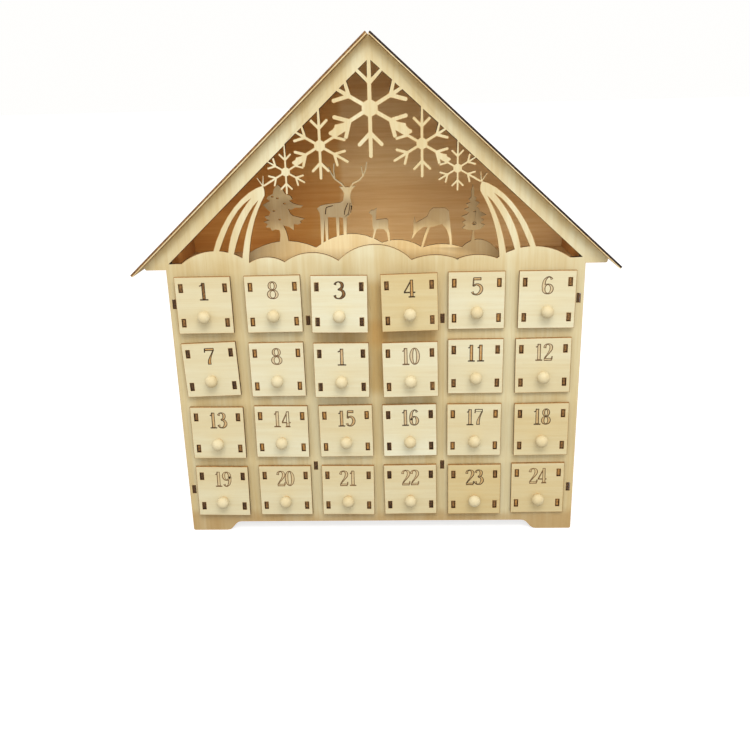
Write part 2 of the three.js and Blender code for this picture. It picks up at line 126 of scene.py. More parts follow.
def add_board(name: str, low: Iterable[float], high: Iterable[float]) -> Piece:
    """Add a cube primitive and stretch it between two corners.

    Args:
        name: Name of the new object.
        low: Lowest corner in millimetres.
        high: Highest corner in millimetres.

    Returns:
        The board, with its place in its mesh.
    """
    low, high = Vector(low) * MM, Vector(high) * MM
    pick()
    bpy.ops.mesh.primitive_cube_add(size=1, location=(low + high) / 2)
    board = bpy.context.object
    board.name = board.data.name = name
    board.scale = high - low
    bpy.ops.object.transform_apply(location=True, rotation=True, scale=True)
    return board


def join(*objects: Piece) -> Piece:
    """Join objects into the first one."""
    pick(*objects)
    bpy.ops.object.join()
    return bpy.context.object


def duplicate(source: Piece, name: str) -> Piece:
    """Copy an object together with its mesh."""
    copy = source.copy()
    copy.data = source.data.copy()
    copy.name = copy.data.name = name
    bpy.context.scene.collection.objects.link(copy)
    return copy


def inset_band(board: Piece, width: float, wanted: FaceRule) -> None:
    """Lay a band, its width in millimetres, along the rim of the faces that a rule wants."""
    with editing(board, wanted) as found:
        if found:
            bpy.ops.mesh.inset(thickness=width * MM, depth=0, use_even_offset=False)


def pull(board: Piece, wanted: FaceRule, *way: float) -> None:
    """Extrude the faces that a rule wants along a way in millimetres."""
    move = tuple(value * MM for value in way)
    with editing(board, wanted):
        bpy.ops.mesh.extrude_region_move(TRANSFORM_OT_translate={"value": move})


def cut_along(board: Piece, axis: int, places: Iterable[float]) -> None:
    """Bisect a whole object at right angles to an axis.

    Args:
        board: The object to cut.
        axis: 0, 1 or 2 for X, Y or Z.
        places: Where to cut, in millimetres.
    """
    normal = [float(index == axis) for index in range(3)]
    with editing(board):
        for place in places:
            bpy.ops.mesh.select_all(action="SELECT")
            bpy.ops.mesh.bisect(plane_co=[value * place * MM for value in normal], plane_no=normal)


def close_up() -> None:
    """Merge the doubled points of the selection and turn its faces outward."""
    bpy.ops.mesh.remove_doubles(threshold=MERGE)
    bpy.ops.mesh.normals_make_consistent(inside=False)


def subtract(board: Piece, cutter: Piece, overlapping: bool = False) -> None:
    """Cut one object's shape out of another and delete the cutter.

    Args:
        board: The object that is cut.
        cutter: The shape that is taken away.
        overlapping: True if the cutter's own parts overlap.
    """
    pick(board)
    modifier = board.modifiers.new("cut", "BOOLEAN")
    modifier.operation = "DIFFERENCE"
    modifier.solver = "EXACT"
    modifier.use_self = overlapping
    modifier.object = cutter
    bpy.ops.object.modifier_apply(modifier=modifier.name)
    bpy.data.objects.remove(cutter)


def paint(piece: Piece, rule: CornerRule) -> None:
    """Store how scorched and how golden each face corner is.

    Args:
        piece: The object to paint.
        rule: Gives scorch and tone for a corner's face and point.
    """
    mesh = piece.data
    layer = mesh.color_attributes.new(PAINT, "FLOAT_COLOR", "CORNER")
    for face in mesh.polygons:
        for loop, vertex in zip(face.loop_indices, face.vertices):
            layer.data[loop].color = (*rule(face, mesh.vertices[vertex]), 0, 1)


# Shaders


class Nodes:
    """A node tree with short calls to fill it. All but fill and add give the result's socket."""

    def __init__(self, tree: Group) -> None:
        """Keep the tree that the calls fill."""
        self.tree = tree

    def fill(self, node: bpy.types.Node, inputs: dict) -> bpy.types.Node:
        """Set a node's inputs, by name or index, to values or to other nodes' outputs."""
        for key, value in inputs.items():
            if isinstance(value, Socket):
                self.tree.links.new(value, node.inputs[key])
            else:
                node.inputs[key].default_value = value
        return node

    def add(self, kind: str, inputs: dict | None = None, **settings: object) -> bpy.types.Node:
        """Add a node.

        Args:
            kind: The node's type name, without its start.
            inputs: Socket name or index to a value or to another node's output.
            **settings: Properties of the node.

        Returns:
            The new node.
        """
        node = self.tree.nodes.new(f"ShaderNode{kind}")
        for key, value in settings.items():
            setattr(node, key, value)
        return self.fill(node, inputs or {})

    def math(self, operation: str, first: object, second: object = 0.0) -> Socket:
        """Combine two values."""
        return self.add("Math", {0: first, 1: second}, operation=operation).outputs[0]

    def dot(self, first: Socket, second: Socket) -> Socket:
        """Dot product of two vectors."""
        return self.add("VectorMath", {0: first, 1: second}, operation="DOT_PRODUCT").outputs["Value"]

    def mix(self, factor: object, first: object, second: object, blend: str = "MIX") -> Socket:
        """Mix two colours."""
        inputs = {0: factor, 6: first, 7: second}
        return self.add("Mix", inputs, data_type="RGBA", blend_type=blend).outputs[2]

    def span(self, value: Socket, low: object, high: object) -> Socket:
        """Spread a stretch of values smoothly over 0 to 1."""
        inputs = {"Value": value, "From Min": low, "From Max": high}
        return self.add("MapRange", inputs, interpolation_type="SMOOTHSTEP").outputs[0]

    def noise(self, place: Socket, scale: float, detail: float, rough: float = 0.5,
              warp: float = 0.0) -> Socket:
        """Noise over a place."""
        return self.add("TexNoise", {
            "Vector": place, "Scale": scale, "Detail": detail, "Roughness": rough,
            "Distortion": warp}).outputs[0]


def new_group(name: str, inputs: dict[str, str],
              outputs: dict[str, str]) -> tuple[Nodes, dict[str, Socket], bpy.types.Node]:
    """Start a shader node group with named sockets.

    Args:
        name: Name of the group.
        inputs: Input names to their kinds of socket.
        outputs: Output names to their kinds of socket.

    Returns:
        The group's nodes, its inputs by name and the node that takes its outputs.
    """
    group = bpy.data.node_groups.new(name, "ShaderNodeTree")
    for in_out, sockets in (("INPUT", inputs), ("OUTPUT", outputs)):
        for label, kind in sockets.items():
            group.interface.new_socket(label, in_out=in_out, socket_type=f"NodeSocket{kind}")
    given = group.nodes.new("NodeGroupInput").outputs
    return Nodes(group), {socket.name: socket for socket in given}, group.nodes.new("NodeGroupOutput")


class Effects:
    """The node groups that the finishes share."""

    def __init__(self) -> None:
        """Build every group once."""
        self.grain = self.make_grain()
        self.scorch = self.make_scorch()
        self.edge = self.make_edge()
        self.fade = self.make_fade()

    def make_grain(self) -> Group:
        """Wood grain: broad veneer bands, fine fibres and short pores.

        Returns:
            A group that takes coordinates stretched along the fibres.
        """
        nodes, given, result = new_group(
            "Veneer grain", {"Place": "Vector"}, {"Band": "Float", "Fibre": "Float", "Height": "Float"})
        place = given["Place"]
        band = nodes.span(nodes.noise(place, 38.0, 3.0, 0.55, 0.4), 0.36, 0.66)
        fibre = nodes.span(nodes.noise(place, 420.0, 4.0, 0.65), 0.34, 0.68)
        pore = nodes.span(nodes.noise(place, 900.0, 1.0), 0.62, 0.74)
        fibre = nodes.math("MAXIMUM", fibre, nodes.math("MULTIPLY", pore, 0.9))
        relief = nodes.math("ADD", nodes.math("MULTIPLY", fibre, 0.6), nodes.math("MULTIPLY", pore, 0.4))
        nodes.fill(result, {"Band": band, "Fibre": fibre, "Height": nodes.math("SUBTRACT", 1.0, relief)})
        return nodes.tree

    def make_scorch(self) -> Group:
        """Wood that a laser has toasted: honey first, then brown, then char.

        Returns:
            A group that turns clean wood into scorched wood by an amount from 0 to 1.
        """
        nodes, given, result = new_group(
            "Laser scorch", {"Wood": "Color", "Amount": "Float", "Place": "Vector"}, {"Colour": "Color"})
        soot = nodes.noise(given["Place"], 650.0, 3.0, 0.6)
        drift = nodes.math("MULTIPLY", nodes.math("SUBTRACT", soot, 0.5), 0.9)
        uneven = nodes.math("MULTIPLY", given["Amount"], nodes.math("ADD", drift, 1.0))
        colour = given["Wood"]
        honey, brown, char = srgb(190, 138, 72), srgb(106, 74, 42), srgb(38, 24, 16)
        for low, high, burnt in ((0.0, 0.4, honey), (0.32, 0.68, brown), (0.6, 0.95, char)):
            colour = nodes.mix(nodes.span(uneven, low, high), colour, burnt)
        nodes.fill(result, {"Colour": colour})
        return nodes.tree

    def make_edge(self) -> Group:
        """Mask of the cut edges of a board, by the way its faces look.

        Returns:
            A group that compares the surface's normal with the board's broad side.
        """
        nodes, given, result = new_group(
            "Cut edge", {"Normal": "Vector", "Broad side": "Vector"}, {"Mask": "Float"})
        facing = nodes.math("ABSOLUTE", nodes.dot(given["Normal"], given["Broad side"]))
        nodes.fill(result, {"Mask": nodes.span(facing, 0.75, 0.35)})
        return nodes.tree

    def make_fade(self) -> Group:
        """Mask that grows along one way over the piece, with a soft uneven front.

        Returns:
            A group that takes the way, where along it the mask starts and is full, the heights where it
            fades in and out, whether the left half mirrors the right one, and the side that it lies on.
        """
        vectors = dict.fromkeys(("Place", "Normal", "Way", "Side"), "Vector")
        floats = dict.fromkeys(("Start", "Stop", "Floor", "Ceiling", "Mirror"), "Float")
        nodes, given, result = new_group("Fade along", vectors | floats, {"Mask": "Float"})
        place, start, stop, soft = given["Place"], given["Start"], given["Stop"], 10 * MM
        mirrored = nodes.add("VectorMath", {0: place}, operation="ABSOLUTE").outputs[0]
        along = nodes.dot(nodes.mix(given["Mirror"], place, mirrored), given["Way"])
        cloud = nodes.math("SUBTRACT", nodes.noise(place, 60.0, 2.0), 0.5)
        drift = nodes.math("MULTIPLY", cloud, nodes.math("SUBTRACT", stop, start))
        mask = nodes.span(nodes.math("ADD", along, drift), start, stop)
        height = nodes.add("SeparateXYZ", {0: place}).outputs[2]
        for operation, limit in (("ADD", given["Floor"]), ("SUBTRACT", given["Ceiling"])):
            mask = nodes.math("MULTIPLY", mask, nodes.span(height, limit, nodes.math(operation, limit, soft)))
        seen = nodes.math("GREATER_THAN", nodes.dot(given["Normal"], given["Side"]), -0.5)
        nodes.fill(result, {"Mask": nodes.math("MULTIPLY", mask, seen)})
        return nodes.tree


class Run(Enum):
    """Which way the fibres run, as the stretch of the pattern's coordinates."""

    UPRIGHT = (1.0, 1.0, 0.045)
    ACROSS = (0.045, 1.0, 1.0)
    INWARD = (1.0, 0.045, 1.0)


class Broad(Enum):
    """Which way a board's broad side looks."""

    FRONT = (0.0, 1.0, 0.0)
    SIDE = (1.0, 0.0, 0.0)
    TOP = (0.0, 0.0, 1.0)


@dataclass(frozen=True)
class Fade:
    """A tint that grows along one way.

    Attributes:
        way: The way, with length 1.
        start: Where along it the tint starts, in millimetres.
        stop: Where it is full.
        tint: Colour that the wood is multiplied with.
        floor: Height where it fades in.
        ceiling: Height where it has faded out.
        mirrored: True if the left half mirrors the right one.
        side: Way that the tinted side looks, where the other side stays clean.
    """

    way: Triple
    start: float
    stop: float
    tint: Colour
    floor: float = -1000.0
    ceiling: float = 1000.0
    mirrored: bool = False
    side: Triple = (0.0, 0.0, 0.0)


def roof_line_shade(start: float, stop: float, tint: Colour) -> Fade:
    """Painted shade on the front panel that follows both slopes of its roof line.

    Args:
        start: How far below the roof line the tint starts, in millimetres.
        stop: How far below it the tint is full.
        tint: Colour that the wood is multiplied with.

    Returns:
        The painted shade, empty below the sill.
    """
    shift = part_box("front_panel")[1].z / MM * math.cos(ROOF_LEAN)
    way = (-math.sin(ROOF_LEAN), 0, -math.cos(ROOF_LEAN))
    return Fade(way, start - shift, stop - shift, tint, floor=SILL, mirrored=True)


@dataclass(frozen=True)
class PlyFinish:
    """Bare plywood with scorched cut edges.

    Attributes:
        name: Name of the material.
        pale: Colour between the fibres.
        deep: Colour of the broad bands.
        golden: Colour of a piece whose painted tone is 1.
        run: Way of the fibres.
        broad: Way that the broad side looks, or None where the scorch is painted.
        edge_scorch: Scorch of the cut edges where it isn't painted.
        bands: How much the broad bands show.
        fibres: How much the fibres show.
        roughness: Roughness of the clean wood.
        bump: Depth of the grain.
        fades: Tints that grow along the piece.
    """

    name: str
    pale: Colour
    deep: Colour
    golden: Colour
    run: Run = Run.UPRIGHT
    broad: Broad | None = None
    edge_scorch: float = 0.75
    bands: float = 0.5
    fibres: float = 0.25
    roughness: float = 0.62
    bump: float = 0.12
    fades: tuple[Fade, ...] = ()

    def build(self, effects: Effects) -> bpy.types.Material:
        """Make the material.

        Args:
            effects: The shared node groups.

        Returns:
            The finished material.
        """
        material = bpy.data.materials.new(self.name)
        material.use_nodes = True
        nodes = Nodes(material.node_tree)
        surface = nodes.add("TexCoord").outputs
        place, normal = surface["Object"], surface["Normal"]
        along = nodes.add("Mapping", {"Vector": place, "Scale": self.run.value}).outputs[0]
        grain = nodes.add("Group", {"Place": along}, node_tree=effects.grain).outputs
        if self.broad is None:
            painted = nodes.add("VertexColor", layer_name=PAINT).outputs["Color"]
            amount, tone, _ = nodes.add("SeparateColor", {0: painted}).outputs
        else:
            sides = {"Normal": normal, "Broad side": self.broad.value}
            edge = nodes.add("Group", sides, node_tree=effects.edge)
            amount, tone = nodes.math("MULTIPLY", edge.outputs[0], self.edge_scorch), 0.0
        wood = nodes.mix(tone, self.pale, self.golden)
        for fade in self.fades:
            mask = nodes.add("Group", {
                "Place": place, "Normal": normal, "Way": fade.way, "Side": fade.side,
                "Start": fade.start * MM, "Stop": fade.stop * MM, "Floor": fade.floor * MM,
                "Ceiling": fade.ceiling * MM, "Mirror": float(fade.mirrored)}, node_tree=effects.fade)
            wood = nodes.mix(mask.outputs[0], wood, fade.tint, "MULTIPLY")
        for pattern, strength in (("Band", self.bands), ("Fibre", self.fibres)):
            wood = nodes.mix(nodes.math("MULTIPLY", grain[pattern], strength), wood, self.deep, "MULTIPLY")
        burnt = {"Wood": wood, "Amount": amount, "Place": place}
        scorch = nodes.add("Group", burnt, node_tree=effects.scorch)
        rough = nodes.math("ADD", nodes.math("MULTIPLY", grain["Fibre"], 0.1), self.roughness)
        bump = nodes.add("Bump", {"Strength": self.bump, "Distance": 0.0004, "Height": grain["Height"]})
        nodes.fill(material.node_tree.nodes["Principled BSDF"], {
            "Base Color": scorch.outputs[0], "Roughness": rough, "Normal": bump.outputs[0],
            "Specular IOR Level": 0.3})
        return material


class Palette:
    """Every finish of the calendar, each built once."""

    def __init__(self) -> None:
        """Build the materials."""
        effects = Effects()
        pale, warm, tan = srgb(232, 220, 184), srgb(214, 176, 120), srgb(206, 168, 112)
        straw = srgb(224, 196, 148)
        attic = SILL - 16
        inside = {"floor": attic, "side": (0.0, -1.0, 0.0)}
        # Darker below the gable; painted shade along the roof line, between and under the middle drawers, on
        # the feet
        self.panel = PlyFinish(
            "Front plywood", srgb(226, 218, 183), srgb(230, 206, 160), srgb(222, 188, 126),
            fades=(Fade((0, 0, 1), 224, 212, srgb(246, 241, 232)), roof_line_shade(6, 0, srgb(240, 230, 212)),
                   Fade((1, 0, 0), 12, 2, srgb(240, 226, 200), floor=111, ceiling=206, mirrored=True),
                   Fade((1, 0, 0), 49, 42, srgb(246, 232, 212), floor=148, ceiling=177, mirrored=True),
                   Fade((0, 0, -1), -20, -10, srgb(228, 214, 200)))).build(effects)
        self.scene = PlyFinish(
            "Scene plywood", srgb(240, 222, 176), srgb(230, 204, 156), srgb(168, 147, 111)).build(effects)
        self.drawer = PlyFinish(
            "Drawer plywood", srgb(226, 222, 194), srgb(236, 216, 176), srgb(213, 197, 152),
            run=Run.ACROSS, fibres=0.2, bands=0.35).build(effects)
        self.tray = PlyFinish(
            "Tray plywood", srgb(238, 222, 180), warm, srgb(222, 192, 136), run=Run.INWARD,
            bands=0.4).build(effects)
        self.roof = PlyFinish("Roof plywood", pale, straw, srgb(240, 212, 158), run=Run.INWARD).build(effects)
        # Painted shade on the back's inner side: warm all over the attic, and warmer to the left
        self.back = PlyFinish(
            "Back plywood", pale, srgb(222, 190, 140), srgb(176, 128, 76), run=Run.ACROSS,
            broad=Broad.FRONT, fibres=0.3,
            fades=(Fade((0, 0, 1), 0, 1, srgb(252, 226, 194), **inside),
                   Fade((-1, 0, 0), 23, 29, srgb(240, 220, 186), **inside),
                   Fade((-1, 0, 0), 20, 80, srgb(250, 234, 206), **inside))).build(effects)
        # Painted shade on the walls' inner sides above the attic floor
        self.walls = {side: PlyFinish(
            f"Wall plywood {side}", pale, straw, tan, broad=Broad.SIDE,
            fades=(Fade((0, 0, 1), 0, 1, srgb(206, 160, 112), floor=attic, side=(inward, 0.0, 0.0)),)
        ).build(effects) for side, inward in (("left", 1.0), ("right", -1.0))}
        self.shelf = PlyFinish(
            "Shelf plywood", srgb(216, 190, 140), warm, tan, run=Run.ACROSS, broad=Broad.TOP).build(effects)
        self.knob = PlyFinish(
            "Turned birch", srgb(220, 208, 172), srgb(236, 214, 168), srgb(218, 196, 140), run=Run.INWARD,
            bands=0.3, fibres=0.15, roughness=0.5).build(effects)


def dress(piece: Piece, material: bpy.types.Material) -> None:
    """Give a piece one material in place of what it had."""
    piece.data.materials.clear()
    piece.data.materials.append(material)


# Numbers for the drawer fronts


@dataclass(frozen=True)
class Stroke:
    """One stroke of a digit.

    Attributes:
        points: Places and widths along the stroke, in shares of the digit's height.
        curved: True if the stroke bends smoothly through its points.
        closed: True if the stroke returns to its start.
    """

    points: tuple[Triple, ...]
    curved: bool = True
    closed: bool = False

    def sampled(self) -> Loop:
        """Points along the stroke, close enough for a smooth line."""
        nodes = [Vector(point) for point in self.points]
        if not self.curved or self.closed:
            return nodes
        ends = [nodes[0] * 2 - nodes[1], *nodes, nodes[-1] * 2 - nodes[-2]]
        line = []
        for index in range(1, len(ends) - 2):
            before, start, stop, after = ends[index - 1:index + 3]
            for t in (0, 0.2, 0.4, 0.6, 0.8):
                line.append(0.5 * (2 * start + (stop - before) * t
                                   + (2 * before - 5 * start + 4 * stop - after) * t * t
                                   + (3 * start - before - 3 * stop + after) * t ** 3))
        return [*line, nodes[-1]]

    def outlines(self, across: float, height: float, trim: float = 0.0,
                 weight: float = 1.0) -> list[Loop]:
        """Outlines of the stroke.

        Args:
            across: Width of one digit unit in millimetres.
            height: Height of the digit in millimetres.
            trim: How far the outline is drawn in, in millimetres.
            weight: Multiple of the stroke's drawn thickness.

        Returns:
            One loop, or an outer and an inner loop for a closed stroke.
        """
        finest = 0.12
        line = [Vector((p.x * across, p.y * height)) for p in self.sampled()]
        widths = [max(p.z * height * weight - 2 * trim, finest) / 2 for p in self.sampled()]
        if not self.closed:
            for end, inner in ((0, 1), (-1, -2)):
                way = line[inner] - line[end]
                line[end] = line[end] + way.normalized() * min(trim, way.length * 0.8)
        count = len(line)
        left, right = [], []
        for index, place in enumerate(line):
            before = line[index - 1] if self.closed or index else place
            after = line[(index + 1) % count] if self.closed or index < count - 1 else place
            way = (after - before).normalized()
            side = Vector((-way.y, way.x)) * widths[index]
            left.append(place + side)
            right.append(place - side)
        return [left, right] if self.closed else [left + right[::-1]]


def flat_stroke(loops: list[Loop], depth: float) -> Piece:
    """Fill loops as a flat curve, thicken it and turn it upright.

    Args:
        loops: The loops in millimetres.
        depth: Half of its thickness.

    Returns:
        The stroke as a mesh object.
    """
    curve = bpy.data.curves.new("stroke", "CURVE")
    curve.dimensions = "2D"
    curve.fill_mode = "BOTH"
    curve.extrude = depth * MM
    for loop in loops:
        spline = curve.splines.new("POLY")
        spline.points.add(len(loop) - 1)
        for point, place in zip(spline.points, loop):
            point.co = (place.x * MM, place.y * MM, 0, 1)
        spline.use_cyclic_u = True
    stroke = bpy.data.objects.new("stroke", curve)
    bpy.context.scene.collection.objects.link(stroke)
    stroke.rotation_euler = (math.pi / 2, 0, 0)
    pick(stroke)
    bpy.ops.object.convert(target="MESH")
    return bpy.context.object


def upright_cutter(shapes: list[list[Loop]], depth: float, place: Iterable[float]) -> Piece:
    """Join flat strokes into one cutter that stands upright.

    Args:
        shapes: The loops of each stroke, in millimetres.
        depth: How deep the cutter reaches before and behind its place.
        place: Where it stands, in metres.

    Returns:
        A mesh of overlapping closed strokes.
    """
    cutter = join(*(flat_stroke(loops, depth) for loops in shapes))
    bpy.ops.object.transform_apply(location=True, rotation=True, scale=True)
    with editing(cutter):
        close_up()
    cutter.data.transform(Matrix.Translation(place))
    return cutter


def ring(x: float, z: float, half_width: float, half_height: float, thick: float,
         thin: float = 0.06) -> Stroke:
    """A round stroke that is thick at its sides and thin above and below."""
    points, steps = [], 24
    for step in range(steps):
        angle = step * math.tau / steps
        width = thin + (thick - thin) * abs(math.cos(angle)) ** 1.5
        points.append((x + half_width * math.cos(angle), z + half_height * math.sin(angle), width))
    return Stroke(tuple(points), closed=True)


def curved(*points: Triple) -> Stroke:
    """A stroke that bends smoothly."""
    return Stroke(points)


def straight(*points: Triple) -> Stroke:
    """A stroke with straight sides."""
    return Stroke(points, curved=False)


SIX = (
    ring(0.31, 0.30, 0.215, 0.26, 0.15),
    curved((0.51, 0.83, 0.12), (0.44, 0.94, 0.07), (0.31, 0.965, 0.06), (0.15, 0.80, 0.12),
           (0.09, 0.52, 0.15), (0.095, 0.30, 0.14)),
)
DIGITS: dict[str, tuple[Stroke, ...]] = {
    "0": (ring(0.30, 0.5, 0.225, 0.465, 0.16),),
    "1": (
        straight((0.33, 0.03, 0.15), (0.33, 0.99, 0.15)),
        curved((0.12, 0.80, 0.05), (0.24, 0.86, 0.06), (0.33, 0.97, 0.1)),
        straight((0.10, 0.03, 0.06), (0.56, 0.03, 0.06)),
    ),
    "2": (
        curved((0.08, 0.74, 0.13), (0.13, 0.90, 0.09), (0.30, 0.965, 0.06), (0.47, 0.88, 0.13),
               (0.50, 0.70, 0.15), (0.38, 0.48, 0.10), (0.18, 0.25, 0.07), (0.07, 0.09, 0.06)),
        straight((0.04, 0.06, 0.12), (0.56, 0.06, 0.12)),
        straight((0.55, 0.06, 0.07), (0.585, 0.25, 0.05)),
    ),
    "3": (
        curved((0.09, 0.80, 0.13), (0.16, 0.93, 0.07), (0.30, 0.965, 0.06), (0.46, 0.86, 0.14),
               (0.45, 0.64, 0.13), (0.24, 0.53, 0.06)),
        curved((0.24, 0.54, 0.06), (0.48, 0.47, 0.12), (0.55, 0.27, 0.16), (0.44, 0.09, 0.12),
               (0.28, 0.035, 0.06), (0.13, 0.08, 0.08), (0.07, 0.22, 0.13)),
    ),
    "4": (
        straight((0.42, 0.97, 0.06), (0.04, 0.29, 0.06)),
        straight((0.02, 0.28, 0.06), (0.62, 0.28, 0.06)),
        straight((0.43, 0.99, 0.13), (0.43, 0.03, 0.15)),
        straight((0.26, 0.03, 0.06), (0.60, 0.03, 0.06)),
    ),
    "5": (
        straight((0.12, 0.92, 0.13), (0.54, 0.92, 0.13)),
        straight((0.14, 0.95, 0.06), (0.11, 0.50, 0.06)),
        curved((0.12, 0.51, 0.07), (0.28, 0.61, 0.09), (0.48, 0.53, 0.13), (0.55, 0.33, 0.15),
               (0.46, 0.13, 0.13), (0.29, 0.04, 0.08), (0.13, 0.08, 0.08), (0.07, 0.20, 0.12)),
    ),
    "6": SIX,
    "7": (
        straight((0.05, 0.92, 0.13), (0.57, 0.92, 0.13)),
        straight((0.07, 0.97, 0.06), (0.05, 0.74, 0.05)),
        curved((0.555, 0.90, 0.06), (0.38, 0.55, 0.08), (0.27, 0.25, 0.14), (0.26, 0.02, 0.16)),
    ),
    "8": (ring(0.30, 0.745, 0.165, 0.215, 0.13), ring(0.30, 0.265, 0.215, 0.23, 0.15)),
    "9": tuple(
        replace(stroke, points=tuple((DIGIT_WIDTH - x, 1 - z, width) for x, z, width in stroke.points))
        for stroke in SIX),
}
SCENE_LINES = (
    curved((-34.4, 35.9, 0.7), (-34, 39.1, 0.7), (-33.1, 40.9, 0.7), (-28.7, 42, 0.6)),
    curved((-17.9, 43.7, 0.5), (-20.2, 38.8, 0.7), (-20.7, 35.3, 0.5)),
    curved((-16.4, 43.7, 0.5), (-17, 39.8, 0.6), (-17.8, 35.9, 0.5)),
    curved((-15.4, 41.6, 0.5), (-15.9, 38.8, 0.6), (-16, 35.9, 0.5)),
    ring(72.4, 27.4, 1.2, 1.0, 0.5, 0.5),
)


class Ink(Enum):
    """How dark a number is burnt: its outline and its filling."""

    SOLID = (0.85, 0.6)
    DARK = (1.0, 0.3)
    BROWN = (0.82, 0.24)
    GOLDEN = (0.68, 0.15)
    CRISP = (0.86, 0.2)
    FAINT = (0.64, 0.13)


class Tone(Enum):
    """How golden a drawer's veneer is."""

    WHITE = 0.0
    PALE = 0.2
    CREAM = 0.45
    TAN = 0.8
    GOLDEN = 1.0


class Tabs(Enum):
    """How dark the ends of a tray's tabs are burnt."""

    DARK = 0.78
    BROWN = 0.57
    TAN = 0.46


@dataclass(frozen=True)
class Engraving:
    """A number burnt into a drawer front, with a darker outline.

    Attributes:
        height: Height of a digit in millimetres.
        centre: Height of the number's centre above the face's centre.
        single: Width of one digit unit where the number has one digit.
        double: Width of one digit unit where it has two.
        advance: Step from one digit to the next, in digit units.
        weight: Thickness of the strokes as a multiple of the drawn one.
        outline: Width of the dark outline.
        outline_depth: Depth of the outline.
        filling_depth: Depth between the outlines.
        limits: Depths that part the front from the outline, that from the filling and that from the slots.
        area: Half of the width of the area that holds the number, and the height where it starts.
    """

    height: float = 13.0
    centre: float = 10.4
    single: float = 13.6
    double: float = 11.0
    advance: float = 0.62
    weight: float = 1.3
    outline: float = 0.53
    outline_depth: float = 0.22
    filling_depth: float = 0.36
    limits: Triple = (0.1, 0.3, 0.5)
    area: tuple[float, float] = (9.0, 2.0)

    def shapes(self, label: str, trim: float) -> list[list[Loop]]:
        """Loops of a number's strokes about the face's centre.

        Args:
            label: The number.
            trim: How far the strokes are drawn in from the number's outline.

        Returns:
            The loops of each stroke, in millimetres.
        """
        across = self.single if len(label) == 1 else self.double
        step = self.advance * across
        start = -(step * (len(label) - 1) + DIGIT_WIDTH * across) / 2
        shapes = []
        for index, digit in enumerate(label):
            shift = Vector((start + index * step, self.centre - self.height / 2))
            for stroke in DIGITS[digit]:
                loops = stroke.outlines(across, self.height, trim, self.weight)
                shapes.append([[p + shift for p in loop] for loop in loops])
        return shapes


# Drawers


@dataclass(frozen=True)
class DrawerLook:
    """What one drawer looks like: its number, its turn in degrees and its colours."""

    label: str
    roll: float
    tone: Tone
    ink: Ink
    tabs: Tabs


DRAWERS = tuple(DrawerLook(*look) for look in (
    ("1", 0, Tone.CREAM, Ink.SOLID, Tabs.BROWN), ("8", 0.3, Tone.PALE, Ink.GOLDEN, Tabs.TAN),
    ("3", -0.7, Tone.WHITE, Ink.SOLID, Tabs.DARK), ("4", 1, Tone.GOLDEN, Ink.DARK, Tabs.BROWN),
    ("5", 0, Tone.PALE, Ink.BROWN, Tabs.TAN), ("6", -0.3, Tone.PALE, Ink.GOLDEN, Tabs.BROWN),
    ("7", 1.8, Tone.CREAM, Ink.DARK, Tabs.DARK), ("8", 0.2, Tone.PALE, Ink.GOLDEN, Tabs.TAN),
    ("1", -0.4, Tone.PALE, Ink.BROWN, Tabs.DARK), ("10", 0.8, Tone.PALE, Ink.GOLDEN, Tabs.BROWN),
    ("11", 0, Tone.PALE, Ink.DARK, Tabs.BROWN), ("12", 0.5, Tone.CREAM, Ink.GOLDEN, Tabs.BROWN),
    ("13", -0.5, Tone.CREAM, Ink.BROWN, Tabs.BROWN), ("14", -0.6, Tone.PALE, Ink.FAINT, Tabs.TAN),
    ("15", 0.3, Tone.CREAM, Ink.BROWN, Tabs.TAN), ("16", 0.7, Tone.WHITE, Ink.CRISP, Tabs.DARK),
    ("17", 0, Tone.CREAM, Ink.CRISP, Tabs.TAN), ("18", 0.5, Tone.TAN, Ink.CRISP, Tabs.BROWN),
    ("19", -0.9, Tone.CREAM, Ink.FAINT, Tabs.DARK), ("20", -0.3, Tone.CREAM, Ink.FAINT, Tabs.BROWN),
    ("21", -0.6, Tone.CREAM, Ink.FAINT, Tabs.BROWN), ("22", 0.5, Tone.CREAM, Ink.FAINT, Tabs.DARK),
    ("23", 0.2, Tone.GOLDEN, Ink.CRISP, Tabs.BROWN), ("24", 0.4, Tone.TAN, Ink.FAINT, Tabs.TAN),
))


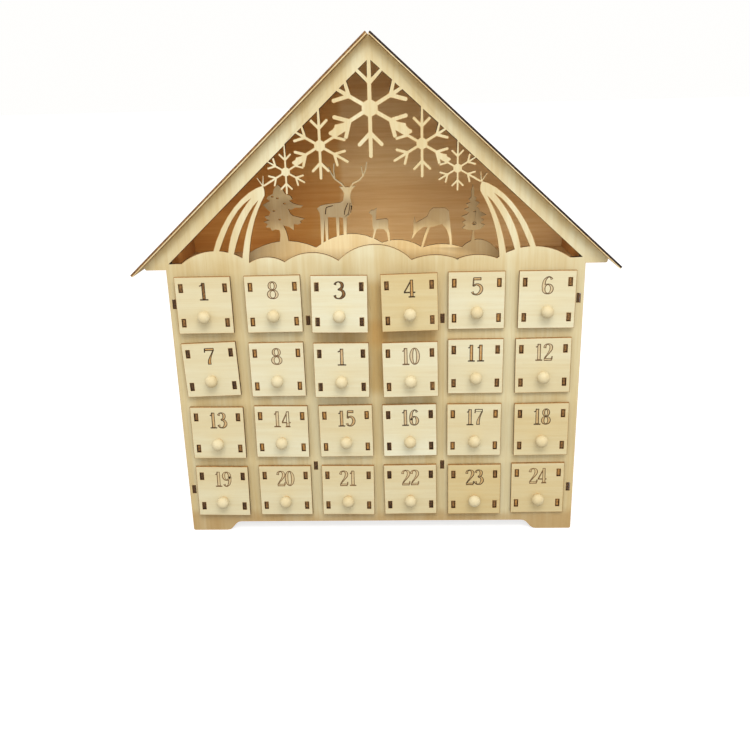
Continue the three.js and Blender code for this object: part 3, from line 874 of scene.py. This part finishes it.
@dataclass
class DrawerMaker:
    """Sizes and masters of the drawers, in millimetres about the face's centre and back.

    Attributes:
        palette: The finishes.
        width: Width of the face.
        height: Height of the face.
        ply: Thickness of every board.
        bevel: Width of the face's broken edges.
        tab_x: Distance of the tabs from the middle.
        tab_z: Height of the tabs above and below the middle.
        tab_height: Height of a tab.
        slot_gap: Gap around a tab.
        tab_depth: How far a tab's end lies behind the face.
        tab_rim: Width of the burnt rim around a tab's end.
        side_height: Height of the tray's sides.
        depth: Depth of the tray.
        bottom_low: Underside of the tray's bottom.
        back_height: Height of the tray's back.
        tongues: Places of the bottom's tongues along the depth, as shares of it.
        tongue: Half of such a tongue's length.
        back_tongue: Half of the height of the back's tongues.
        tongue_play: Gap around the tongues.
        halo: Width of the toasted band along the cut edges.
        rim_scorch: Scorch of the face's rims.
        inner_scorch: Scorch of the tray's cut edges inside the house.
        knob_drop: How far the knob sits below the middle.
        knob_radius: Radius of the knob.
        knob_height: How far it stands out.
        knob_flatness: Its cap's height as a share of a ball's.
        knob_foot: Radius and height of its foot.
    """

    palette: Palette
    width: float = 40.6
    height: float = 42.2
    ply: float = 2.0
    bevel: float = 0.12
    tab_x: float = 16.0
    tab_z: float = 12.9
    tab_height: float = 5.2
    slot_gap: float = 0.55
    tab_depth: float = 0.5
    tab_rim: float = 0.38
    side_height: float = 35.0
    depth: float = 65.9
    bottom_low: float = -14.5
    back_height: float = 28.0
    tongues: tuple[float, float] = (0.3, 0.7)
    tongue: float = 5.0
    back_tongue: float = 4.0
    tongue_play: float = 0.15
    halo: float = 0.45
    rim_scorch: float = 0.5
    inner_scorch: float = 0.6
    knob_drop: float = 7.7
    knob_radius: float = 4.6
    knob_height: float = 9.0
    knob_flatness: float = 0.86
    knob_foot: tuple[float, float] = (3.0, 0.25)
    engraving: Engraving = field(default_factory=Engraving)

    def __post_init__(self) -> None:
        """Model the blank face, the tray and the knob once."""
        self.slot_reach = self.ply / 2 + self.slot_gap
        self.slot_rise = self.tab_height / 2 + self.slot_gap
        self.face = self.blank_face()
        self.tray = self.make_tray()
        self.knob = self.make_knob()

    def blank_face(self) -> Piece:
        """Model a face board with its four tab slots and no number.

        Returns:
            The master of the faces.
        """
        half, tall = self.width / 2, self.height / 2
        face = add_board("face", (-half, -self.ply, -tall), (half, 0, tall))
        with editing(face):
            bpy.ops.mesh.bevel(offset=self.bevel * MM, segments=1)
        reach, rise = self.slot_reach, self.slot_rise
        slots = [add_board("slot", (x - reach, -self.ply - 1, z - rise), (x + reach, 1, z + rise))
                 for x in (-self.tab_x, self.tab_x) for z in (-self.tab_z, self.tab_z)]
        subtract(face, join(*slots))
        inset_band(face, self.halo, lambda centre, normal: abs(normal.y) > 0.99)
        return face

    def make_tray(self) -> Piece:
        """Model the tray: two sides with tabs, a bottom and a back let into them.

        Returns:
            The master of the trays.
        """
        ply, half, tall, depth = self.ply, self.ply / 2, self.side_height / 2, self.depth
        low, play, inner = self.bottom_low, self.tongue_play, self.tab_x - self.ply / 2
        levels = (-self.tab_z, self.tab_z)
        middles = [depth * share for share in self.tongues]
        reach, rise = self.tongue + play, self.back_tongue + play
        sides = []
        for x in (-self.tab_x, self.tab_x):
            side = add_board("side", (x - half, 0, -tall), (x + half, depth, tall))
            cut_along(side, 2, [z + end * self.tab_height / 2 for z in levels for end in (-1, 1)])
            pull(side, lambda centre, normal: normal.y < -0.9 and any(
                abs(centre.z / MM - z) < 0.5 for z in levels), 0, self.tab_depth - ply, 0)
            holes = [add_board("hole", (x - ply, y - reach, low - play),
                               (x + ply, y + reach, low + ply + play)) for y in middles]
            holes.append(add_board("hole", (x - ply, depth - 2 * ply, -rise), (x + ply, depth + 1, rise)))
            subtract(side, join(*holes))
            sides.append(side)
        bottom = add_board("bottom", (-inner, 0, low), (inner, depth, low + ply))
        cut_along(bottom, 1, [y + end * self.tongue for y in middles for end in (-1, 1)])
        back = add_board("back", (-inner, depth - ply, low + ply), (inner, depth, low + self.back_height))
        cut_along(back, 2, (-self.back_tongue, self.back_tongue))
        for sign in (-1, 1):
            pull(bottom, lambda centre, normal: normal.x * sign > 0.9 and any(
                abs(centre.y / MM - y) < 1 for y in middles), sign * (ply - play), 0, 0)
            pull(back, lambda centre, normal: normal.x * sign > 0.9 and abs(centre.z) < 1 * MM,
                 sign * (ply - play), 0, 0)
        tray = join(*sides, bottom, back)
        tray.name = "tray"
        inset_band(tray, self.tab_rim, lambda centre, normal: normal.y < -0.9 and centre.y < -0.5 * MM)
        dress(tray, self.palette.tray)
        return tray

    def toast_tray(self, tray: Piece, tabs: Tabs) -> None:
        """Scorch a tray's cut edges, most of all the rims of the tab ends in the face.

        Args:
            tray: The drawer's tray.
            tabs: How dark the tab ends are.
        """
        half, slack, tone = self.ply / 2, 0.1, 0.4
        between = (self.tab_x - half) * 1.01

        def rule(face: bpy.types.MeshPolygon, vertex: bpy.types.MeshVertex) -> tuple[float, float]:
            """Tell tab ends, broad sides and cut edges apart."""
            x, y, z = (abs(vertex.co.x) / MM, vertex.co.y / MM, abs(vertex.co.z) / MM)
            side, front, up = (abs(value) > 0.9 for value in face.normal)
            if y < -0.5:
                across, along = abs(x - self.tab_x), abs(z - self.tab_z)
                end = across < half - slack and along < self.tab_height / 2 - slack
                return (tabs.value if end else CHARRED), tone
            clean = side and abs(x - self.tab_x) < half + 3 * slack
            clean = clean or x < between and (up or front and y > self.depth - self.ply - 1)
            return (0.0 if clean else self.inner_scorch), tone

        paint(tray, rule)

    def make_knob(self) -> Piece:
        """Turn a mushroom-shaped knob by spinning its profile.

        Returns:
            The master of the knobs, with its foot on the face's front.
        """
        radius, cap = self.knob_radius, self.knob_radius * self.knob_flatness
        foot, foot_height = self.knob_foot
        profile = [(0.0, 0.0), (foot, 0.0), (foot, foot_height)]
        lowest, sweep, steps = -56, 146, 14
        for step in range(steps + 1):
            angle = math.radians(lowest + step * (sweep / steps))
            rise = self.knob_height - cap + cap * math.sin(angle)
            profile.append((max(radius * math.cos(angle), 0.0), rise))
        pick()
        bpy.ops.mesh.primitive_plane_add(size=1)
        knob = bpy.context.object
        knob.name = "knob"
        with editing(knob):
            bpy.ops.mesh.delete(type="VERT")
            mesh = bmesh.from_edit_mesh(knob.data)
            line = [mesh.verts.new((out * MM, -(self.ply + rise) * MM, 0)) for out, rise in profile]
            for first, second in zip(line, line[1:]):
                mesh.edges.new((first, second))
            bmesh.update_edit_mesh(knob.data)
            bpy.ops.mesh.select_all(action="SELECT")
            bpy.ops.mesh.spin(steps=32, angle=math.tau, center=(0, 0, 0), axis=(0, 1, 0))
            bpy.ops.mesh.select_all(action="SELECT")
            close_up()
        bpy.ops.object.shade_smooth_by_angle(angle=math.radians(50))
        knob.data.transform(Matrix.Translation((0, 0, -self.knob_drop * MM)))
        low = -(self.ply + 0.6) * MM
        paint(knob, lambda face, vertex: (0.25 if vertex.co.y > low else 0.0, 0.1))
        dress(knob, self.palette.knob)
        return knob

    def engrave(self, face: Piece, look: DrawerLook) -> None:
        """Burn the number into a face and paint the whole board.

        Args:
            face: The blank face.
            look: The drawer's look.
        """
        burn = self.engraving
        for trim, depth in ((0.0, burn.outline_depth), (burn.outline, burn.filling_depth)):
            cutter = upright_cutter(burn.shapes(look.label, trim), depth, (0, -self.ply * MM, 0))
            subtract(face, cutter, overlapping=True)
        outline, filling = look.ink.value
        half, tall, slack = self.width / 2, self.height / 2, 0.05
        (wide, lowest), (shallow, middle, deep) = burn.area, burn.limits

        def scorch(x: float, z: float, depth: float, normal: Vector) -> float:
            """Scorch of a place at a depth behind the front: rims, the number's outline and its filling."""
            digit = abs(x) < wide and z > lowest
            if abs(normal.y) < 0.9:
                upper = normal.z > 0.5 and z > tall - 10 * slack
                return self.rim_scorch if upper else 1.0 if depth > deep or not digit else outline
            if digit and shallow < depth < deep:
                return outline if depth < middle else filling
            x, z = abs(x), abs(z)
            rim = x > half - 4 * slack or z > tall - 4 * slack
            across, along = abs(x - self.tab_x), abs(z - self.tab_z)
            slot = across < self.slot_reach + slack and along < self.slot_rise + slack
            return self.rim_scorch if rim or slot else 0.0

        def rule(part: bpy.types.MeshPolygon, vertex: bpy.types.MeshVertex) -> tuple[float, float]:
            """Scorch and tone of a corner."""
            x, y, z = (value / MM for value in vertex.co)
            return scorch(x, z, y + self.ply, part.normal), look.tone.value

        paint(face, rule)

    def build(self, index: int, look: DrawerLook) -> None:
        """Make one drawer in its place.

        Args:
            index: The drawer's place in the house, counted from 1.
            look: The drawer's look.
        """
        day = f"{index:02d}"
        low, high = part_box(f"drawer_{day}")
        place = Vector(((low.x + high.x) / 2, low.y + self.ply * MM, (low.z + high.z) / 2))
        move = Matrix.Translation(place) @ Matrix.Rotation(-math.radians(look.roll), 4, "Y")
        face = duplicate(self.face, f"face_{day}")
        self.engrave(face, look)
        dress(face, self.palette.drawer)
        tray = duplicate(self.tray, f"tray_{day}")
        self.toast_tray(tray, look.tabs)
        knob = duplicate(self.knob, f"turned_knob_{day}")
        for piece, node, slot in (
                (face, f"drawer_{day}", "drawer_plywood"), (tray, f"drawer_{day}", "drawer_plywood"),
                (knob, f"knob_{day}", "knob_wood")):
            piece.data.transform(move)
            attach(piece, f"drawer_{day}_body")
            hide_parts(node)
        log.info("drawer %s with number %s: %d faces", day, look.label, len(face.data.polygons))

    def discard_masters(self) -> None:
        """Delete the masters once every drawer has its copies."""
        for master in (self.face, self.tray, self.knob):
            bpy.data.objects.remove(master)


# House


@dataclass
class House:
    """The carcass: panels, walls, shelves, roof and winter scene, with sizes in millimetres.

    Attributes:
        palette: The finishes.
        halo: Width of the toasted band along the front panel's cuts.
        scene_halo: Width of the one along the scene board's cuts.
        line_depth: Depth of the lines engraved in the scene.
        last_valley: X where the scene's right hill starts.
        highlight_strip: Width of the pale strip along the lower side of the roof's cut edges, a painted
            highlight of the lit underside.
        band_scorch_and_shadow: Scorch and the painted shadow of the gap along the gable band's inner edge,
            above 1 to stay dark right up to it.
        panel_scorch: Scorch along the front panel's other cuts.
        scene_scorch: Scorch along the scene board's cuts.
    """

    palette: Palette
    halo: float = 0.55
    scene_halo: float = 0.2
    line_depth: float = 0.25
    last_valley: float = 63.6
    highlight_strip: float = 0.6
    band_scorch_and_shadow: float = 3.2
    panel_scorch: float = 0.3
    scene_scorch: float = 0.25

    @staticmethod
    def clean_copy(node: str, name: str) -> Piece:
        """Copy a node of the frame with its doubled points merged and its thin triangles evened out.

        Args:
            node: The frame's node.
            name: Name of the copy.

        Returns:
            The copy, at the origin.
        """
        board = duplicate(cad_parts[node], name)
        board.parent = None
        board.matrix_world = Matrix.Identity(4)
        with editing(board):
            bpy.ops.mesh.remove_doubles(threshold=MERGE)
            bpy.ops.mesh.dissolve_degenerate(threshold=2e-5)
            bpy.ops.mesh.beautify_fill(angle_limit=math.radians(0.2))
        bpy.ops.object.shade_flat()
        return board

    def toast_cuts(self, board: Piece, halo: float, rim_scorch: Callable[[Vector], float],
                   tone: Callable[[Vector], float]) -> None:
        """Lay a toasted band along the rims of a board's cuts and paint the board.

        Args:
            board: The board.
            halo: Width of the band in millimetres.
            rim_scorch: Scorch of a place on a rim.
            tone: Golden tone of a place.
        """
        mesh = board.data
        depths = [vertex.co.y for vertex in mesh.vertices]
        front, back = min(depths), max(depths)

        def broad(centre: Vector, normal: Vector) -> bool:
            """Whether a face belongs to the board's front or back."""
            return abs(normal.y) > 0.99 and min(centre.y - front, back - centre.y) < 0.02 * MM

        inset_band(board, halo, broad)
        cuts = [face for face in mesh.polygons if abs(face.normal.y) < 0.9]
        rim = {index for face in cuts for index in face.vertices}
        sharp = {key for face in cuts for key in face.edge_keys}

        def rule(face: bpy.types.MeshPolygon, vertex: bpy.types.MeshVertex) -> tuple[float, float]:
            """Char the cuts and toast the band's outer corners."""
            place = vertex.co.lerp(face.center, 0.02)  # off the face's own border
            if not broad(face.center, face.normal):
                return CHARRED, tone(place)
            toasted = vertex.index in rim and not sharp.isdisjoint(face.edge_keys)
            return (rim_scorch(place) if toasted else 0.0), tone(place)

        paint(board, rule)
        log.info("%s: %d cut faces", board.name, len(cuts))

    def build(self) -> None:
        """Dress every board of the house."""
        self.front_panel()
        self.winter_scene()
        for side in ("left", "right"):
            self.roof_board(side)
            dress(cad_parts[f"{side}_wall"], self.palette.walls[side])
        dress(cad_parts["back_panel"], self.palette.back)
        for node in ("base_board", "attic_floor", "drawer_rack"):
            dress(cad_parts[node], self.palette.shelf)

    def finish_board(self, board: Piece, node: str, material: bpy.types.Material) -> None:
        """Put a finished board in the place of its node."""
        dress(board, material)
        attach(board, "carcass")
        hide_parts(node)

    def front_panel(self) -> None:
        """Toast the fretwork front, most of all along the gable band's inner edge, where painted shadow adds
        to the scorch.
        """
        board = self.clean_copy("front_panel", "fretwork_front")
        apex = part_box("front_panel")[1].z

        def rim_scorch(place: Vector) -> float:
            """Darker where the opening meets the gable band: scorch and the painted shadow of the gap."""
            inward = (apex - place.z) * math.cos(ROOF_LEAN) - abs(place.x) * math.sin(ROOF_LEAN)
            near = abs(inward - GABLE_BAND * MM) < 0.3 * MM
            return self.band_scorch_and_shadow if near else self.panel_scorch

        self.toast_cuts(board, self.halo, rim_scorch, lambda place: 0.0)
        self.finish_board(board, "front_panel", self.palette.panel)

    def winter_scene(self) -> None:
        """Engrave and toast the board with the hills, firs and deer."""
        board = self.clean_copy("scene_panel", "winter_scene")
        low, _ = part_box("scene_panel")
        lines = [stroke.outlines(1, 1) for stroke in SCENE_LINES]
        subtract(board, upright_cutter(lines, self.line_depth, (0, low.y, low.z)))

        def ramp(value: float, start: float, length: float) -> float:
            """Rise from 0 to 1 over a length."""
            return min(max((value - start) / length, 0), 1)

        def tone(place: Vector) -> float:
            """Grey the figures and the outer hills, and leave the feet and the middle hills pale; the left
            hill's grey, growing to the left, is painted shade, and so in part is the figures' grey.
            """
            height, x = (place.z - low.z) / MM, place.x / MM
            figure = ramp(height, 21, 8) - 0.5 * ramp(height, 44, 6)
            hill = 0.78 if x > self.last_valley else 0.8 * ramp(-x, 42, 40)
            return max(figure, hill)

        self.toast_cuts(board, self.scene_halo, lambda place: self.scene_scorch, tone)
        self.finish_board(board, "scene_panel", self.palette.scene)

    def roof_board(self, side: str) -> None:
        """Copy a roof board, char the outer part of its edges and leave a pale painted highlight along their
        lower part.

        Args:
            side: left or right.
        """
        board = self.clean_copy(f"roof_{side}", f"{side}_roof_board")
        sign = -1 if side == "left" else 1
        out = Vector((sign * math.sin(ROOF_LEAN), 0, math.cos(ROOF_LEAN)))
        strip = min(vertex.co.dot(out) for vertex in board.data.vertices) + self.highlight_strip * MM
        with editing(board):
            bpy.ops.mesh.bisect(plane_co=out * strip, plane_no=out)
        # Painted light: the left board's edges are scorched less, as lit; the right one's keep the full char
        burnt = 0.6 if side == "left" else CHARRED

        def rule(face: bpy.types.MeshPolygon, vertex: bpy.types.MeshVertex) -> tuple[float, float]:
            """Char the edges above the painted highlight strip."""
            cut = abs(face.normal.dot(out)) < 0.9
            return (0.0 if not cut else burnt if face.center.dot(out) > strip else 0.02), 0.3

        paint(board, rule)
        self.finish_board(board, f"roof_{side}", self.palette.roof)


# Studio


@dataclass
class Studio:
    """Floor, light and camera.

    Attributes:
        focal_pixels: Focal length in pixels of the image.
        image_width: Width of the image in pixels.
        sensor_width: Width of the camera's sensor.
        eye: The camera's place in millimetres.
        pitch: How far the camera looks down, in degrees.
        yaw: How far it turns to the right.
        roll: How far it leans.
        room_light: Brightness of the room.
        key_power: Power of the soft light above, in watts.
        fill_power: Power of the soft light in front.
        floor_glow: How much the floor is brightened for the camera alone.
        attic_corner: Place of the faint lights behind the gable's lower corners, in metres.
        attic_power: Power of each of them.
    """

    focal_pixels: float = 830.0
    image_width: float = 750.0
    sensor_width: float = 36.0
    eye: Triple = (22.942, -614.327, 333.209)
    pitch: float = 19.14
    yaw: float = -2.36
    roll: float = 1.506
    room_light: float = 0.85
    key_power: float = 13.0
    fill_power: float = 3.5
    floor_glow: float = 0.75
    attic_corner: Triple = (0.112, -0.012, 0.229)
    attic_power: float = 0.006

    def build(self) -> None:
        """Set up everything around the calendar."""
        self.floor()
        self.light()
        self.camera()

    def floor(self) -> None:
        """Lay a wide pale floor under the feet."""
        pick()
        bpy.ops.mesh.primitive_plane_add(size=30, location=(0, 0, 0))
        floor = bpy.context.object
        floor.name = "studio_floor"
        material = bpy.data.materials.new("Studio floor")
        material.use_nodes = True
        nodes = Nodes(material.node_tree)
        path = nodes.add("LightPath").outputs
        nodes.fill(material.node_tree.nodes["Principled BSDF"], {
            "Base Color": (0.42, 0.415, 0.41, 1), "Roughness": 0.9, "Specular IOR Level": 0.1,
            "Emission Color": (1, 1, 1, 1),
            "Emission Strength": nodes.math("MULTIPLY", path["Is Camera Ray"], self.floor_glow)})
        dress(floor, material)

    def light(self) -> None:
        """Light the room evenly and add soft lights above and in front."""
        world = bpy.data.worlds.new("Studio")
        world.use_nodes = True
        nodes = Nodes(world.node_tree)
        path = nodes.add("LightPath").outputs
        nodes.fill(world.node_tree.nodes["Background"], {
            "Color": (1.0, 0.995, 0.98, 1),
            "Strength": nodes.math("MAXIMUM", path["Is Camera Ray"], self.room_light)})
        bpy.context.scene.world = world
        self.soft_light("soft_key", (0.15, -1.0, 1.3), (0.9, 0.6), self.key_power)
        self.soft_light("soft_fill", (0.05, -1.5, 0.6), (1.2, 0.8), self.fill_power)
        x, y, z = self.attic_corner
        for side in (-1, 1):
            corner = self.soft_light(f"attic_glow_{side}", (side * x, y, z), (0.06, 0.02), self.attic_power)
            corner.rotation_euler = (math.radians(90), 0, 0)

    @staticmethod
    def soft_light(name: str, place: Triple, size: tuple[float, float], power: float) -> Piece:
        """Add an area light that looks at the calendar.

        Args:
            name: Name of the light.
            place: Where it hangs, in metres.
            size: Its width and height in metres.
            power: Its power in watts.

        Returns:
            The light.
        """
        pick()
        bpy.ops.object.light_add(type="AREA", location=place)
        light = bpy.context.object
        light.name = name
        light.data.shape = "RECTANGLE"
        light.data.size, light.data.size_y = size
        light.data.energy = power
        light.data.color = (1.0, 0.99, 0.97)
        light.rotation_euler = (Vector((0, 0, 0.18)) - light.location).to_track_quat("-Z", "Y").to_euler()
        return light

    def camera(self) -> None:
        """Stand the camera where the photograph was taken from."""
        yaw, pitch, roll = (math.radians(value) for value in (self.yaw, self.pitch, self.roll))
        side = Vector((math.cos(yaw), -math.sin(yaw), 0))
        ahead = Vector((math.sin(yaw), math.cos(yaw), 0))
        up = Vector((0, 0, 1))
        look = math.cos(pitch) * ahead - math.sin(pitch) * up
        top = math.sin(pitch) * ahead + math.cos(pitch) * up
        right = math.cos(roll) * side - math.sin(roll) * top
        above = math.sin(roll) * side + math.cos(roll) * top
        pick()
        bpy.ops.object.camera_add()
        camera = bpy.context.object
        camera.name = "photo_camera"
        turn = Matrix((right, above, -look)).transposed().to_4x4()
        camera.matrix_world = Matrix.Translation(Vector(self.eye) * MM) @ turn
        camera.data.sensor_width = self.sensor_width
        camera.data.lens = self.sensor_width * self.focal_pixels / self.image_width
        camera.data.clip_start, camera.data.clip_end = 0.01, 60
        bpy.context.scene.camera = camera


def main() -> None:
    """Build the calendar and the studio in order."""
    logging.basicConfig(level=logging.INFO, format="%(message)s")
    palette = Palette()
    House(palette).build()
    maker = DrawerMaker(palette)
    for index, look in enumerate(DRAWERS, start=1):
        maker.build(index, look)
    maker.discard_masters()
    Studio().build()
    bpy.context.scene.view_settings.view_transform = "Standard"


if __name__ == "__main__":
    main()
